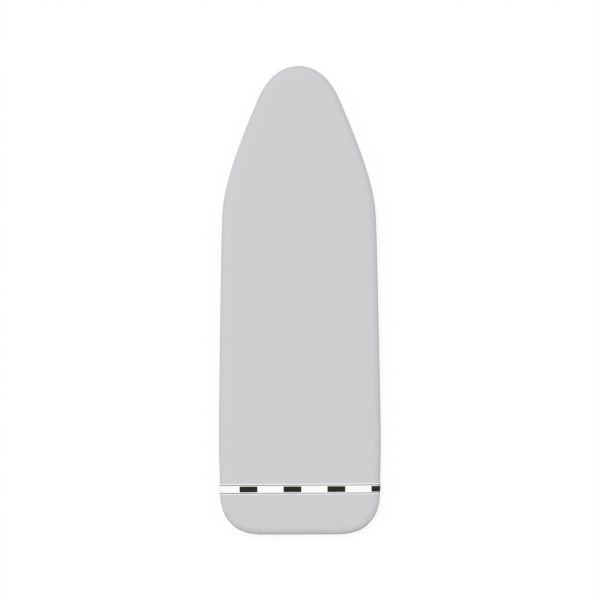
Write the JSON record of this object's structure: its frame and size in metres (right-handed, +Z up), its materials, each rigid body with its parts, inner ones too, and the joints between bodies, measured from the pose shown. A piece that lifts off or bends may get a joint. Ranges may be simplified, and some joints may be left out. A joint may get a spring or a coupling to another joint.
{
  "type": "ironing board cover",
  "caption": "Fitted padded ironing board cover with a turned-under skirt, drawstring hem, sprung cord lock, cross straps underneath and a woven ribbon across the tail",
  "frame": {"origin": "middle of the underside's bounding box, on the floor that the cover lies on", "axes": "+Z up out of the ironing face, +Y towards the nose, +X to the right seen from above with the nose away"},
  "size_m": [0.432, 1.25, 0.0387],
  "materials": {
    "face_cotton": "plain woven cotton with a pale silver-grey coating, faint satin sheen",
    "pad_foam": "open-cell foam sheet",
    "pad_felt": "pressed felt",
    "ribbon_weave": "white woven ribbon with grey edge lines and bare dark woven blocks",
    "hem_tape": "folded woven tape, gathered",
    "drawstring_cord": "braided cord",
    "lock_plastic": "moulded, fine matt grain",
    "button_plastic": "moulded, satin",
    "spring_steel": "drawn wire",
    "elastic_webbing": "ribbed elastic webbing",
    "hook_tape": "hook side of a hook-and-loop tape",
    "loop_tape": "loop side of a hook-and-loop tape"
  },
  "bodies": {
    "cover": {"face_cloth": "face_cotton", "foam_pad": "pad_foam", "felt_underlay": "pad_felt", "ribbon_band": "ribbon_weave", "hem_casing": "hem_tape", "drawstring": "drawstring_cord", "cord_end_left": "lock_plastic", "cord_end_right": "lock_plastic", "strap_1_sewn_end": "elastic_webbing", "strap_1_loop_patch": "loop_tape", "strap_2_sewn_end": "elastic_webbing", "strap_2_loop_patch": "loop_tape", "strap_3_sewn_end": "elastic_webbing", "strap_3_loop_patch": "loop_tape"},
    "cord_lock": {"cord_lock_body": "lock_plastic", "cord_lock_spring": "spring_steel"},
    "lock_button": {"cord_lock_button": "button_plastic"},
    "strap_1": {"strap_1_web": "elastic_webbing", "strap_1_hook_patch": "hook_tape"},
    "strap_2": {"strap_2_web": "elastic_webbing", "strap_2_hook_patch": "hook_tape"},
    "strap_3": {"strap_3_web": "elastic_webbing", "strap_3_hook_patch": "hook_tape"}
  },
  "joints": [
    {"name": "cord_lock_slide", "type": "slide", "parent": "cover", "child": "cord_lock", "axis": [0, 1, 0], "range_m": [0, 0.04]},
    {"name": "lock_button_press", "type": "slide", "parent": "cord_lock", "child": "lock_button", "axis": [-1, 0, 0], "range_m": [0, 0.003], "stiffness_N_per_m": 1000, "springref_m": -0.002, "deforming": ["cord_lock_spring"]},
    {"name": "strap_1_swing", "type": "hinge", "parent": "cover", "child": "strap_1", "pos_m": [-0.14008, -0.4, -0.00015], "axis": [0, 1, 0], "range_deg": [0, 175]},
    {"name": "strap_2_swing", "type": "hinge", "parent": "cover", "child": "strap_2", "pos_m": [-0.13576, -0.05, -0.00015], "axis": [0, 1, 0], "range_deg": [0, 175]},
    {"name": "strap_3_swing", "type": "hinge", "parent": "cover", "child": "strap_3", "pos_m": [-0.11821, 0.3, -0.00015], "axis": [0, 1, 0], "range_deg": [0, 175]}
  ]
}
